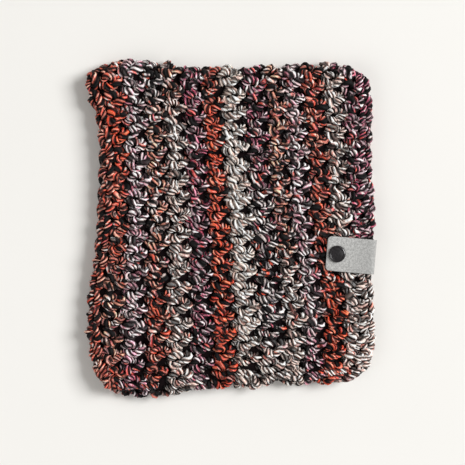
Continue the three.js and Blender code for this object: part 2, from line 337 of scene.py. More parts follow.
def smooth_curve(rows, key, column):
    """A smooth curve through one column of a table, as a function of its key column."""
    keys = np.array([row[key] for row in rows])
    values = np.array([row[column] for row in rows])
    before = np.maximum(np.arange(len(keys)) - 1, 0)
    after = np.minimum(np.arange(len(keys)) + 1, len(keys) - 1)
    slopes = (values[after] - values[before]) / (keys[after] - keys[before])

    def at(place):
        i = np.clip(np.searchsorted(keys, place, side="right") - 1, 0, len(keys) - 2)
        span = keys[i + 1] - keys[i]
        t = np.clip((place - keys[i]) / span, 0, 1)
        rise = 3 * t**2 - 2 * t**3
        bend = (t - 2 * t**2 + t**3) * slopes[i] + (t**3 - t**2) * slopes[i + 1]
        return values[i] * (1 - rise) + values[i + 1] * rise + span * bend

    return at


left_top = smooth_curve(RIMS, "lay", "left_top")
left_under = smooth_curve(RIMS, "lay", "left_under")
right_rim = smooth_curve(RIMS, "lay", "right")
far_fold = smooth_curve(FOLDS, "along", "far")
near_fold = smooth_curve(FOLDS, "along", "near")
first_top = smooth_curve(ROUND_TOPS, "lay", "first")
twelfth_top = smooth_curve(ROUND_TOPS, "lay", "twelfth")
last_top = smooth_curve(ROUND_TOPS, "lay", "last")
round_bow = smooth_curve(ROUND_TOPS, "lay", "bow")
round_shift = smooth_curve(ROUND_SHIFTS, "round", "shift")


def mix(a, b, share):
    """A value between a, at 0, and b, at 1."""
    return a + (b - a) * share


def ease(low, high, value):
    """0 at low, 1 at high and smooth between them."""
    t = np.clip((value - low) / (high - low), 0, 1)
    return t * t * (3 - 2 * t)


def place_around(around):
    """lay, and turn, which is 0 on the upper layer, 1 underneath and between on the folds."""
    v = np.mod(around, STITCHES_AROUND)
    top = STITCHES_ON_TOP
    sides = [v <= top, v < top + 1, v <= 2 * top + 1]
    lay = np.select(sides, [2 * v / top - 1, 1.0 + 0 * v, 1 - 2 * (v - top - 1) / top], -1.0)
    turn = np.select(sides, [0 * v, v - top, 1.0 + 0 * v], STITCHES_AROUND - v)
    return lay, turn


def layer_gap(x, y, lay):
    """How far apart the two layers lie."""
    gap = LAYER_GAP + FOLD_SLACK * np.exp(-(((1 - np.abs(lay)) / FOLD_SLACK_REACH) ** 2))
    for swell in SWELLS:
        away = np.hypot(x - swell["x"], y - swell["y"]) / swell["reach"]
        gap = gap + swell["rise"] * np.exp(-(away**2))
    return gap


def upper_layer(x, y):
    """The heights of the upper layer's two faces where the tag lies on them."""
    inside = WALL + layer_gap(x, y, 0.0)
    return inside, inside + WALL + STITCH_RISE


def tag_plan(from_fold, across):
    """A place on the tag in plan, from its folded edge inwards and across from its middle."""
    cos, sin = math.cos(TAG_TILT), math.sin(TAG_TILT)
    return TAG_FOLD[0] - from_fold * cos + across * sin, TAG_FOLD[1] + from_fold * sin + across * cos


def tag_lengths(sizes):
    """The tag's outer leaf and its turn, in millimetres, and the reach and rise of the turn."""
    outer, thick = sizes.tag_leaf / MM, sizes.tag_thickness / MM
    reach = TAG_TURN - thick / 2
    rise = (WALL + STITCH_RISE) / 2 + CLEARANCE + thick / 2
    turn = math.pi / 2 * (3 * (reach + rise) - math.sqrt((3 * reach + rise) * (reach + 3 * rise)))
    return outer - TAG_TURN, turn, reach, rise


def tag_place(along, across, sizes):
    """The middle of the tag's strip: over the upper layer, round the opening's edge and back under."""
    leaf, turn, reach, rise = tag_lengths(sizes)
    angle = np.pi * (0.5 - np.clip((along - leaf) / turn, 0, 1))
    from_fold = TAG_TURN + np.maximum(leaf - along, 0) + np.maximum(along - leaf - turn, 0)
    inside, outside = upper_layer(*tag_plan(from_fold, across))
    x, y = tag_plan(from_fold - reach * np.cos(angle), across)
    return np.stack([x, y, (inside + outside) / 2 + rise * np.sin(angle)], -1)


def press_under_tag(points, sizes):
    """Presses the yarn's points flat where the tag holds the upper layer."""
    x, y = points[:, 0], points[:, 1]
    cos, sin = math.cos(TAG_TILT), math.sin(TAG_TILT)
    from_fold = (TAG_FOLD[0] - x) * cos + (y - TAG_FOLD[1]) * sin
    across = (x - TAG_FOLD[0]) * sin + (y - TAG_FOLD[1]) * cos
    inside, outside = upper_layer(x, y)
    held = np.abs(across) < sizes.tag_width / MM / 2 + HELD_ROUND
    held = held & (points[:, 2] > inside - HELD_INSIDE)
    over = held & (from_fold < sizes.tag_leaf / MM + HELD_ROUND)
    flattened = np.clip(points[:, 2], inside - PRESSED, outside + PRESSED)
    points[:, 2] = np.where(over, flattened, points[:, 2])
    past = np.where(held, np.maximum(HELD_BACK - from_fold, 0), 0)
    points[:, 0] -= past * cos
    points[:, 1] += past * sin


def rim_places(around):
    """x of the two openings, before the folds round their corners off."""
    lay, turn = place_around(around)
    return mix(left_top(lay), left_under(lay), turn), right_rim(lay)


def wall_point(x, around):
    """The middle of the wall and its outward normal, in millimetres."""
    lay, turn = place_around(around)
    left, right = rim_places(around)
    along = (x - left) / (right - left)
    cut = np.sin(np.pi * turn) ** 2
    x = x - CORNER_CUT_RIGHT * cut * ease(1 - CORNER_REACH, 1, along)
    x = x + CORNER_CUT_LEFT * cut * ease(CORNER_REACH, 0, along)
    far, near = far_fold(along), near_fold(along)
    bend_far = (WALL + layer_gap(x, far, 1.0)) / 2
    bend_near = (WALL + layer_gap(x, near, 1.0)) / 2
    flat_far, flat_near = far - bend_far - WALL / 2, near + bend_near + WALL / 2
    y = mix(flat_near, flat_far, (lay + 1) / 2)
    angle = np.pi * (0.5 - turn)
    side = np.sign(lay)
    bend = np.where(lay > 0, bend_far, bend_near)
    on_fold = (turn > 0) & (turn < 1)
    gap = layer_gap(x, y, lay)
    z = np.where(turn <= 0, 1.5 * WALL + gap, WALL / 2)
    z = np.where(on_fold, WALL / 2 + bend * (1 + np.sin(angle)), z)
    y = np.where(on_fold, y + side * bend * np.cos(angle), y)
    normal = np.stack([0 * x, np.where(on_fold, side * np.cos(angle), 0), np.sin(angle)], -1)
    return np.stack([x, y, z], -1), normal


def round_top_x(rounds, lay):
    """x on the upper layer of a place counted in rounds."""
    foundation = left_top(lay) + FOUNDATION_WIDTH
    knots = [foundation, first_top(lay), twelfth_top(lay), last_top(lay)]
    early = knots[0] + (knots[1] - knots[0]) * np.maximum(rounds, LOWEST_FOOT)
    share = np.clip((rounds - 1) / (TWELFTH - 1), 0, 1)
    middle = mix(knots[1], knots[2], share) + round_bow(lay) * np.sin(np.pi * share**BOW_SKEW)
    middle = middle + round_shift(rounds)
    late = mix(knots[2], knots[3], rounds - TWELFTH)
    return np.select([rounds < 1, rounds < TWELFTH], [early, middle], late)


def round_x(rounds, around):
    """x of a place counted in rounds. Underneath, the spiral passes each round on to the one before."""
    lay, turn = place_around(around)
    v = np.mod(around, STITCHES_AROUND)
    back = np.clip((v - STITCHES_ON_TOP - 1) / STITCHES_ON_TOP, 0, 1)
    underneath = mix(round_top_x(rounds, 1.0 + 0 * v), round_top_x(rounds - 1, -1.0 + 0 * v), back)
    return np.where(turn <= 0, round_top_x(rounds, lay), underneath)


def spline(points, samples):
    """Catmull-Rom samples between the inner points of a row of points of any width."""
    t = np.arange(samples)[None, :, None] / samples
    p0, p1, p2, p3 = (points[i:len(points) - 3 + i, None, :] for i in range(4))
    curve = 2 * p1 + (p2 - p0) * t + (2 * p0 - 5 * p1 + 4 * p2 - p3) * t**2
    curve = curve + (3 * p1 - p0 - 3 * p2 + p3) * t**3
    return 0.5 * curve.reshape(-1, points.shape[1])


def yarn_way(template, feet, place_of, rng, calm=1.0):
    """Samples of the yarn's way through a row of stitches: place, thickness, around, height over the
    middle of the wall, stitch and the wall's normal."""
    rows = []
    for number, foot in enumerate(feet):
        sway = rng.normal(0, 1, 3) * STITCH_STRAYS * calm
        plump = 1 + STITCH_PLUMP * rng.normal()
        for i, knot in enumerate(template):
            loose = rng.normal(0, 1, 3) * KNOT_STRAYS * calm
            across, up, out = np.array([knot["across"], knot["up"], knot["out"]]) + sway + loose
            rows.append([foot + across, up, out, knot["thick"] * plump, number + i / len(template)])
    rows = np.array(rows)
    x, around = place_of(rows[:, 0], rows[:, 1])
    middle, normal = wall_point(x, around)
    _, turn = place_around(around)
    out = rows[:, 2] * np.where(turn >= 1, UNDERSIDE_SQUASH, 1.0)
    place = middle + normal * out[:, None]
    knots = np.column_stack([place, rows[:, 3], rows[:, 0], out, rows[:, 4], normal])
    return spline(knots, SAMPLES_PER_SPAN)


def resample(way):
    """The way at steps that are shorter where the yarn shows, with the length up to each and how
    much of it shows."""
    steps = np.linalg.norm(np.diff(way[:, :3], axis=0), axis=1)
    _, turn = place_around(way[:, 4])
    shown = ease(*SHOWN_FROM, way[:, 5]) * ease(*FOLD_HIDES, turn)
    step = mix(COARSE_STEP, FINE_STEP, shown[1:])
    count = np.concatenate([[0], np.cumsum(steps / step)])
    at = np.linspace(0, count[-1], int(count[-1]) + 1)
    columns = np.column_stack([way, shown, np.concatenate([[0], np.cumsum(steps)])])
    found = np.stack([np.interp(at, count, column) for column in columns.T], -1)
    return found[:, :-2], found[:, -1], found[:, -2]


def frames_along(points):
    """Two directions across the yarn at each point, turning as little as they can."""
    tangent = np.gradient(points, axis=0)
    tangent /= np.linalg.norm(tangent, axis=1, keepdims=True)
    first = np.cross(tangent[0], ANY_DIRECTION)
    sides = [first / np.linalg.norm(first)]
    for t in tangent[1:]:
        side = sides[-1] - t * np.dot(sides[-1], t)
        sides.append(side / math.sqrt(np.dot(side, side)))
    sides = np.array(sides)
    return sides, np.cross(tangent, sides)


def mesh_object(name, points, faces, material):
    """A new object from arrays of points, in metres, and of four-sided faces."""
    mesh = bpy.data.meshes.new(name)
    mesh.vertices.add(len(points))
    mesh.vertices.foreach_set("co", np.asarray(points, np.float32).ravel())
    mesh.loops.add(faces.size)
    mesh.loops.foreach_set("vertex_index", faces.ravel().astype(np.int32))
    mesh.polygons.add(len(faces))
    mesh.polygons.foreach_set("loop_start", np.arange(0, faces.size, faces.shape[1], dtype=np.int32))
    mesh.update(calc_edges=True)
    mesh.shade_smooth()
    mesh.materials.append(material)
    piece = bpy.data.objects.new(name, mesh)
    bpy.context.scene.collection.objects.link(piece)
    return piece


def shade_names(around, number):
    """Two shades of the chart and their mix at a place of a round."""
    v = around % STITCHES_AROUND
    row = YARN_CHART[number]
    if v > STITCHES_ON_TOP:
        back = min(max((v - STITCHES_ON_TOP - 1) / STITCHES_ON_TOP, 0), 1)
        return row["far"], YARN_CHART[max(number - 1, 0)]["near"], back
    names = list(CHART_PLACES)
    places = list(CHART_PLACES.values())
    i = min(max(np.searchsorted(places, v) - 1, 0), len(names) - 2)
    share = (v - places[i]) / (places[i + 1] - places[i])
    return row[names[i]], row[names[i + 1]], ease(*CHART_BLEND, share)


def dye(mesh, around, number, palette):
    """Stores the shades of the coloured plies on the mesh's points, a ring of points at a time."""
    for ply, attribute in enumerate(PLY_SHADES):
        values = []
        for v in around:
            first, second, share = shade_names(v, number)
            values.append(mix(palette[first][ply], palette[second][ply], share))
        layer = mesh.attributes.new(attribute, "FLOAT_COLOR", "POINT")
        rings = np.repeat(np.array(values, np.float32), COLUMNS_AROUND_YARN, axis=0)
        ends = np.array(values, np.float32)[[0, -1]]
        layer.data.foreach_set("color", np.concatenate([rings, ends]).ravel())


def ply_swell(ply, length, rng):
    """How far each ply is thicker or thinner at a place along the yarn."""
    knots = rng.normal(0, PLY_SLUB, (PLIES, int(length[-1] / SLUB_LENGTH) + 2))
    which = np.mod(np.floor(ply), PLIES).astype(int)
    at = np.broadcast_to(length[:, None] / SLUB_LENGTH, ply.shape)
    before = at.astype(int)
    return mix(knots[which, before], knots[which, before + 1], ease(0, 1, at - before))


def ply_turns(length, shown, sizes, rng):
    """How many turns the plies have made at each ring, and how many the ring's points follow."""
    turns = rng.normal(1, TWIST_WANDER, int(length[-1] / SLUB_LENGTH) + 2)
    uneven = np.interp(length / SLUB_LENGTH, np.arange(len(turns)), turns)
    twist = np.concatenate([[0], np.cumsum(np.diff(length) * uneven[1:])]) * MM / sizes.twist
    return twist, np.concatenate([[0], np.cumsum(np.diff(twist) * shown[1:])])


def set_yarn_maps(mesh, ring, column, ply, run, stitch):
    """The map that the plies follow, and the one for baking, with a patch for each stitch."""
    at = ring[:, None] + np.array([0, 0, 1, 1])
    corner = column[:, None] + np.array([0, 1, 1, 0])
    set_map(mesh, "ply", ply[at, corner], run[at])
    strip = np.floor(stitch[ring])[:, None]
    rows = math.ceil((strip.max() + 1) / STRIPS_ACROSS_MAP)
    along = np.clip(stitch[at] - strip, 0, 1)
    along = mix(MAP_MARGIN_ALONG, 1 - MAP_MARGIN_ALONG, along) + strip % STRIPS_ACROSS_MAP
    across = mix(MAP_MARGIN_ACROSS, 1 - MAP_MARGIN_ACROSS, corner / COLUMNS_AROUND_YARN)
    across = across + strip // STRIPS_ACROSS_MAP
    set_map(mesh, "OFBake", along / STRIPS_ACROSS_MAP, across / rows)


def yarn_piece(name, way, sizes, start, rng, material, edge=0):
    """The plied yarn along a way, with closed ends, its two maps and the heights that set its painted
    shade. edge is the side of the opening that a chain runs along, whose face towards that opening is
    spared most of that painted shade. Gives the piece, the places around of its rings and the length of
    yarn used up to its end."""
    found, length, shown = resample(way)
    centre, thick, stitch = found[:, :3], found[:, 3], found[:, 6]
    side, other = frames_along(centre)
    n = COLUMNS_AROUND_YARN
    columns = np.arange(n + 1)
    twist, followed = ply_turns(length, shown, sizes, rng)
    ply = PLIES * (columns[None, :] / n + (followed - twist)[:, None])
    crown = np.abs(np.sin(np.pi * ply[:, :n])) ** PLY_ROUNDNESS
    swell = ply_swell(ply[:, :n], length, rng)
    relief = 1 + shown[:, None] * (crown * (PLY_GROOVE + swell) - PLY_GROOVE * GROOVE_BELOW)
    radius = sizes.yarn / MM / 2 * thick[:, None] * relief
    angle = 2 * np.pi * (columns[None, :n] / n + followed[:, None])
    ring = np.cos(angle)[..., None] * side[:, None, :] + np.sin(angle)[..., None] * other[:, None, :]
    # height of each point over the middle of the wall; the yarn's finish paints shade into the low ones
    height = found[:, 5, None] + radius * np.einsum("ijk,ik->ij", ring, found[:, 7:10])
    if edge:
        left, right = rim_places(found[:, 4])
        rim, _ = wall_point(right if edge > 0 else left, found[:, 4])
        past = edge * ((centre[:, 0] - rim[:, 0])[:, None] + radius * ring[..., 0])
        height = np.maximum(height, EDGE_SHOWS + past)
    points = (centre[:, None, :] + radius[..., None] * ring).reshape(-1, 3)
    points = np.concatenate([points, centre[[0, -1]]])
    points[:, 2] = np.maximum(points[:, 2], FLOOR_CLEARANCE)
    press_under_tag(points, sizes)
    rings = len(centre)
    i, c = (a.ravel() for a in np.meshgrid(np.arange(rings - 1), columns[:n], indexing="ij"))
    right = (c + 1) % n
    faces = np.stack([i * n + c, i * n + right, (i + 1) * n + right, (i + 1) * n + c], -1)
    piece = mesh_object(name, points * MM, faces, material)
    close_ends(piece.data, rings, n)
    heights = np.concatenate([height.ravel(), found[[0, -1], 5]])
    layer = piece.data.attributes.new("height", "FLOAT", "POINT")
    layer.data.foreach_set("value", heights.astype(np.float32))
    run = start + length * MM
    set_yarn_maps(piece.data, i, c, ply, run, stitch)
    return piece, found[:, 4], run[-1]


def close_ends(mesh, rings, n):
    """Fans over the first and last ring, to the two points at the end of the mesh."""
    first, last = rings * n, rings * n + 1
    fans = [((c + 1) % n, c, first) for c in range(n)]
    fans += [((rings - 1) * n + c, (rings - 1) * n + (c + 1) % n, last) for c in range(n)]
    loops, polygons = len(mesh.loops), len(mesh.polygons)
    mesh.loops.add(3 * len(fans))
    mesh.polygons.add(len(fans))
    starts = np.zeros(len(mesh.polygons), np.int32)
    starts[:polygons] = np.arange(0, loops, 4)
    starts[polygons:] = loops + 3 * np.arange(len(fans))
    indices = np.zeros(len(mesh.loops), np.int32)
    mesh.loops.foreach_get("vertex_index", indices)
    indices[loops:] = np.array(fans).ravel()
    mesh.loops.foreach_set("vertex_index", indices)
    mesh.polygons.foreach_set("loop_start", starts)
    mesh.update(calc_edges=True)
    mesh.shade_smooth()


def set_map(mesh, name, u, v):
    """A UV map whose end fans stay at the origin of the map."""
    layer = mesh.uv_layers.new(name=name, do_init=False)
    values = np.zeros((len(mesh.loops), 2), np.float32)
    values[:u.size, 0], values[:u.size, 1] = u.ravel(), v.ravel()
    layer.uv.foreach_set("vector", values.ravel())


class Wire:
    """A socket of a node, with arithmetic that adds Math nodes."""

    def __init__(self, finish, socket):
        self.finish = finish
        self.socket = socket

    def maths(self, operation, first, second=None):
        inputs = {0: first} if second is None else {0: first, 1: second}
        return self.finish.node("ShaderNodeMath", {"operation": operation}, inputs)

    def __add__(self, other):
        return self.maths("ADD", self, other)

    def __radd__(self, other):
        return self.maths("ADD", other, self)

    def __sub__(self, other):
        return self.maths("SUBTRACT", self, other)

    def __rsub__(self, other):
        return self.maths("SUBTRACT", other, self)

    def __mul__(self, other):
        return self.maths("MULTIPLY", self, other)

    def __rmul__(self, other):
        return self.maths("MULTIPLY", other, self)

    def __truediv__(self, other):
        return self.maths("DIVIDE", self, other)

    def __abs__(self):
        return self.maths("ABSOLUTE", self)

    def floor(self):
        return self.maths("FLOOR", self)

    def between(self, low, high):
        """0 at low, 1 at high and smooth between them."""
        settings = {"interpolation_type": "SMOOTHSTEP"}
        return self.finish.node("ShaderNodeMapRange", settings, {0: self, 1: low, 2: high})


class Finish:
    """A material, with its node tree written as expressions."""

    def __init__(self, name, **sockets):
        self.material = bpy.data.materials.new(name)
        self.material.use_nodes = True
        self.tree = self.material.node_tree
        self.surface = next(n for n in self.tree.nodes if n.type == "BSDF_PRINCIPLED")
        for socket, value in sockets.items():
            self.feed(socket.replace("_", " ").title().replace("Ior", "IOR"), value)

    def feed(self, socket, value):
        """Links or sets a socket of the surface."""
        target = self.surface.inputs[socket]
        if isinstance(value, Wire):
            self.tree.links.new(value.socket, target)
        else:
            target.default_value = value

    def node(self, kind, settings=None, inputs=None, output=0):
        """Any node: its settings first, then the values or links of its sockets."""
        made = self.tree.nodes.new(kind)
        for key, value in (settings or {}).items():
            setattr(made, key, value)
        for key, value in (inputs or {}).items():
            if isinstance(value, Wire):
                self.tree.links.new(value.socket, made.inputs[key])
            else:
                made.inputs[key].default_value = value
        return Wire(self, made.outputs[output])

    def blend(self, first, second, share, way="MIX"):
        """Two colours, or links to colours, through a Mix node."""
        first, second = (c if isinstance(c, Wire) else (*c, 1.0) for c in (first, second))
        settings = {"data_type": "RGBA", "blend_type": way}
        return self.node("ShaderNodeMix", settings, {0: share, 6: first, 7: second}, 2)

    def noise(self, vector, scale, detail=2.0, roughness=0.5):
        """A noise texture's value, at a vector or a place."""
        inputs = {"Vector": vector, "Scale": scale, "Detail": detail, "Roughness": roughness}
        return self.node("ShaderNodeTexNoise", {}, inputs)

    def vector(self, x, y, z):
        """A vector put together from three values."""
        return self.node("ShaderNodeCombineXYZ", {}, {0: x, 1: y, 2: z})

    def bump(self, height, distance, strength=1.0):
        """Feeds a height to the surface's normal."""
        inputs = {"Height": height, "Distance": distance, "Strength": strength}
        self.feed("Normal", self.node("ShaderNodeBump", {}, inputs))


def yarn_finish(colours):
    """Marled yarn of three plies, dyed in stretches, flecked and mixed with black, with soft fibres and
    glossy crests. Painted highlights lighten the crests, and painted shade darkens the hollows between
    the plies and the places deep in the crochet."""
    finish = Finish("marled_yarn", specular_ior_level=0.3)
    black = colours.black
    place = finish.node("ShaderNodeUVMap", {"uv_map": "ply"})
    turned = finish.node("ShaderNodeSeparateXYZ", {}, {0: place}, 0)
    along = finish.node("ShaderNodeSeparateXYZ", {}, {0: place}, 1)
    strand = turned.floor()
    ply = strand - (strand / PLIES).floor() * PLIES
    crease = abs(turned - strand - 0.5) * 2
    crest = crease.between(0.75, 0.1)
    fibres = finish.noise(finish.vector(turned * 9, along * 420, 0.0), 1.0, 3.0, 0.6)
    first, second, third = (
        finish.node("ShaderNodeAttribute", {"attribute_name": name}, output=0) for name in PLY_SHADES
    )
    darkness = finish.node("ShaderNodeAttribute", {"attribute_name": PLY_SHADES[0]}, output=3)
    oddness = finish.node("ShaderNodeAttribute", {"attribute_name": PLY_SHADES[2]}, output=3)
    stretch = finish.noise(finish.vector(0.0, along * 14, 5.5), 1.0, 1.0).between(0.45, 0.6)
    darkness = darkness + (1 - darkness) * stretch * 0.3
    tone = finish.noise(finish.vector(ply * 7.3, along * 150, 1.5), 1.0, 1.0)
    fleck = finish.noise(finish.vector(ply * 5.1, along * 210, 7.7), 1.0, 1.0)
    dark = finish.noise(finish.vector(ply * 9.7, along * 170, 3.9), 1.0, 1.0)
    odd = finish.blend(colours.plum_first, colours.ivory_first, tone.between(0.42, 0.47))
    odd = finish.blend(odd, colours.rust_first, tone.between(0.53, 0.57))
    colour = finish.blend(first, second, ply.between(0.4, 0.6))
    colour = finish.blend(colour, third, fleck.between(0.5, 0.42))
    colour = finish.blend(colour, odd, fleck.between(0.55, 0.6) * oddness)
    # painted highlight: the crests of the plies are lightened as if their outer fibres caught the light
    colour = finish.blend(colour, colours.painted_crest_highlight, crest * fibres.between(0.46, 0.7) * 0.17)
    # painted glints: the crests are dodged towards the glint colour, standing for gloss highlights
    glint = finish.noise(finish.vector(turned * 2.1, along * 240, 2.2), 1.0, 1.0)
    shine = crest * glint.between(0.36, 0.57)
    colour = finish.blend(colour, colours.glint, shine, "DODGE")
    dark_share = dark.between(0.67, 0.72) + ply.between(1.4, 1.6) * dark.between(0.57, 0.5)
    dark_share = dark_share * darkness
    breaks = finish.noise(finish.vector(turned * 2.2, along * 520, 8.8), 1.0, 2.0)
    colour = finish.blend(colour, black, dark_share)
    colour = finish.blend(colour, black, breaks.between(0.47, 0.4) * 0.86)
    colour = finish.blend(colour, black, fibres.between(0.48, 0.3) * 0.75)
    # painted shade in the creases between the plies, stronger where the black ply is strong
    crease_shade = crease.between(0.34, 0.84)
    colour = finish.blend(colour, black, crease_shade * (darkness * 0.5 + 0.48))
    # painted shade: points that lie low in the crochet are drawn towards black
    height = finish.node("ShaderNodeAttribute", {"attribute_name": "height"}, output=2)
    colour = finish.blend(colour, black, height.between(3.1, 0.4) * 0.97)
    finish.feed("Base Color", colour)
    finish.feed("Roughness", 0.18 + fibres * 0.22 + dark_share * 0.5 + crease_shade * 0.4)
    finish.bump(fibres * 0.5 - crease * crease, 0.0006, 0.9)
    return finish.material


def shade_sheet_finish(colours):
    """Painted shade for the depth of the crochet behind the front of the stitches: near black, with a
    faint grain.
    """
    finish = Finish("inner_yarn", roughness=0.9, specular_ior_level=0.05)
    place = finish.node("ShaderNodeTexCoord", {}, output="Object")
    grain = finish.noise(place, 420.0, 3.0)
    finish.feed("Base Color", finish.blend(colours.black, colours.depth, grain))
    finish.bump(grain, 0.0006)
    return finish.material


def tag_finish(colours):
    """Grey heathered faux leather with a fine grain, a little darker towards the fold."""
    finish = Finish("faux_leather", specular_ior_level=0.3)
    place = finish.node("ShaderNodeUVMap", {"uv_map": "strip"})
    along = finish.node("ShaderNodeSeparateXYZ", {}, {0: place}, 0)
    clouds = finish.noise(place, 620.0, 4.0, 0.65)
    specks = finish.noise(place, 1500.0, 2.0)
    threads = finish.noise(place, 2600.0, 3.0, 0.7)
    cells = {"Vector": place, "Scale": 1150.0}
    pebbles = finish.node("ShaderNodeTexVoronoi", {"feature": "F1"}, cells)
    shade = finish.blend(colours.tag, colours.tag_pale, clouds.between(0.36, 0.64))
    shade = finish.blend(shade, colours.tag_dark, specks.between(0.54, 0.68) * 0.68)
    shade = finish.blend(shade, colours.tag_dark, threads.between(0.55, 0.7) * 0.6)
    shade = finish.blend(shade, colours.tag_dark, along.between(0.006, 0.036) * 0.34)
    finish.feed("Base Color", shade)
    finish.feed("Roughness", 0.48 + clouds * 0.3)
    finish.bump(threads * 0.5 - pebbles * 0.7, 0.0003, 0.7)
    return finish.material


def tag_edge_finish(colours):
    """The tag's cut edge, where its cloth backing shows as fine layers."""
    finish = Finish("cut_edge", roughness=0.85, specular_ior_level=0.2)
    place = finish.node("ShaderNodeTexCoord", {}, output="Object")
    fuzz = finish.noise(place, 2400.0, 4.0, 0.7)
    shade = finish.blend(colours.tag_dark, colours.tag, fuzz.between(0.3, 0.6))
    finish.feed("Base Color", shade)
    finish.bump(fuzz, 0.0002, 0.8)
    return finish.material


def snap_finish(colours):
    """Black moulded resin, glossy and lightly scuffed."""
    finish = Finish("snap_resin", specular_ior_level=0.35, coat_weight=0.55, coat_roughness=0.06)
    place = finish.node("ShaderNodeTexCoord", {}, output="Object")
    scuffs = finish.noise(place, 800.0, 4.0, 0.7)
    grain = finish.noise(place, 2600.0, 2.0, 0.6)
    worn = finish.blend(colours.snap, colours.snap_worn, scuffs.between(0.42, 0.72))
    finish.feed("Base Color", worn)
    finish.feed("Roughness", 0.18 + scuffs * 0.26)
    finish.bump(scuffs * 0.6 + grain * 0.4, 0.00012, 0.6)
    return finish.material


def floor_finish(colours):
    """A pale matt floor that drifts a little in tone."""
    finish = Finish("pale_floor", roughness=0.9)
    place = finish.node("ShaderNodeTexCoord", {}, output="Object")
    drift = finish.noise(place, 9.0, 3.0)
    finish.feed("Base Color", finish.blend(colours.floor, colours.floor * 0.97, drift))
    return finish.material


def colour_of(label, description, default):
    """A colour that a user would change."""
    return FloatVectorProperty(
        name=label, description=description, default=default, size=3, subtype="COLOR", min=0.0, max=1.0
    )


def size_of(label, description, default):
    """A size in metres that a user would change."""
    return FloatProperty(name=label, description=description, default=default, unit="LENGTH", min=0.0)


def with_dyes(group):
    """Gives a property group a colour for each dyed ply of each shade."""
    for row in SHADES:
        shade = row["shade"]
        for ply in DYED_PLIES:
            label = f"{shade.title()}, {ply} ply"
            described = f"Colour of the {ply} ply where the yarn is {shade}"
            group.__annotations__[f"{shade}_{ply}"] = colour_of(label, described, row[ply])
    return group


@with_dyes
class ScarfColours(bpy.types.PropertyGroup):
    """Colours of the yarn's plies, its painted highlights and painted shade, the tag, the snap and the
    floor.
    """

    # painted highlight: a pale colour laid on the crest of each ply, standing for the light its fibres
    # catch
    painted_crest_highlight: colour_of("Brushed", "Pale fibres on the crest of each ply", (0.92, 0.85, 0.82))
    # painted highlight: dodged onto the crests of the plies as glints of gloss
    glint: colour_of("Glint", "Gloss on the crest of each ply", (0.82, 0.75, 0.745))
    # black is the dark ply's own colour and also the painted shade in the creases and deep places
    black: colour_of("Black", "The dark ply and the depth between the plies", (0.003, 0.0025, 0.003))
    # painted shade: the lightest grain of the near black tube behind the stitches
    depth: colour_of("Depth", "Grain of the dark cloth behind the stitches", (0.012, 0.006, 0.007))
    tag: colour_of("Tag", "Ground of the tag", (0.37, 0.37, 0.36))
    tag_pale: colour_of("Tag, pale", "Pale clouds of the tag", (0.56, 0.56, 0.545))
    tag_dark: colour_of("Tag, dark", "Dark specks of the tag", (0.17, 0.17, 0.168))
    snap: colour_of("Snap", "The snap's resin", (0.006, 0.0055, 0.0065))
    snap_worn: colour_of("Snap, worn", "Scuffs on the snap", (0.022, 0.018, 0.022))
    floor: colour_of("Floor", "The pale floor", (0.85, 0.84, 0.81))

    def shades(self):
        """The three coloured plies of each shade. The fourth channel of the first is how dark its
        dark ply is, and that of the third is how much it is flecked with other shades."""
        palette = {}
        for row in SHADES:
            plies = [getattr(self, f"{row['shade']}_{ply}") for ply in DYED_PLIES]
            fourth = (row["dark"], 1.0, row["odd"])
            palette[row["shade"]] = [np.array([*ply, extra]) for ply, extra in zip(plies, fourth)]
        return palette


class ScarfSizes(bpy.types.PropertyGroup):
    """Sizes of the yarn, the tag and the snap."""

    yarn: size_of("Yarn", "Thickness of the plied yarn", 4.9 * MM)
    twist: size_of("Twist", "Length in which the plies turn once round the yarn", 9.0 * MM)
    # thickness of the near black tube of painted shade behind the stitches
    ground: size_of("Ground", "Thickness of the dark cloth behind the stitches", 1.1 * MM)
    tag_width: size_of("Tag width", "Width of the tag's strip", 25.4 * MM)
    tag_leaf: size_of("Tag leaf", "From the tag's fold to the end of its outer leaf", 36.6 * MM)
    tag_inner: size_of("Inner leaf", "From the tag's fold to the end of its hidden leaf", 34 * MM)
    tag_thickness: size_of("Tag thickness", "Thickness of the tag's strip", 1.2 * MM)
    tag_corner: size_of("Tag corner", "Radius of the tag's free corners", 3 * MM)
    snap: size_of("Snap cap", "Radius of the snap's cap", 6.2 * MM)


def material_of(name, make):
    """A finish that several pieces share, made once."""
    found = bpy.data.materials.get(name)
    return found or make(bpy.context.scene.scarf_colours)


def finished(piece, slot, *nodes):
    """Puts a piece on the scarf in place of the CAD nodes that it stands for. slot is not used."""
    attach(piece, "root")
    if nodes:
        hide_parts(*nodes)


class SCARF_OT_rounds(bpy.types.Operator):
    """Lays the rounds of crochet, one stitch after another along one spiral of yarn"""

    bl_idname = "scarf.rounds"
    bl_label = "Rounds of crochet"

    def execute(self, context):
        sizes, colours = context.scene.scarf_sizes, context.scene.scarf_colours
        material = material_of("marled_yarn", yarn_finish)
        rng = np.random.default_rng(SEED)
        start = 0.0
        for number in range(1, ROUNDS + 1):
            shift = -SHIFT_PER_ROUND * number
            low = LAST_ROUND_STARTS if number == ROUNDS else 0.0
            high = FIRST_ROUND_ENDS if number == 1 else float(STITCHES_AROUND)
            feet = np.arange(math.ceil(low - shift), math.floor(high - shift) + 1) + shift

            def place_of(around, up, foot=number - 1):
                return round_x(foot + up, around), around

            way = yarn_way(STITCH, feet, place_of, rng)
            name = f"round_{number:02d}"
            piece, around, start = yarn_piece(name, way, sizes, start, rng, material)
            dye(piece.data, around, number, colours.shades())
            finished(piece, "yarn")
        return {"FINISHED"}


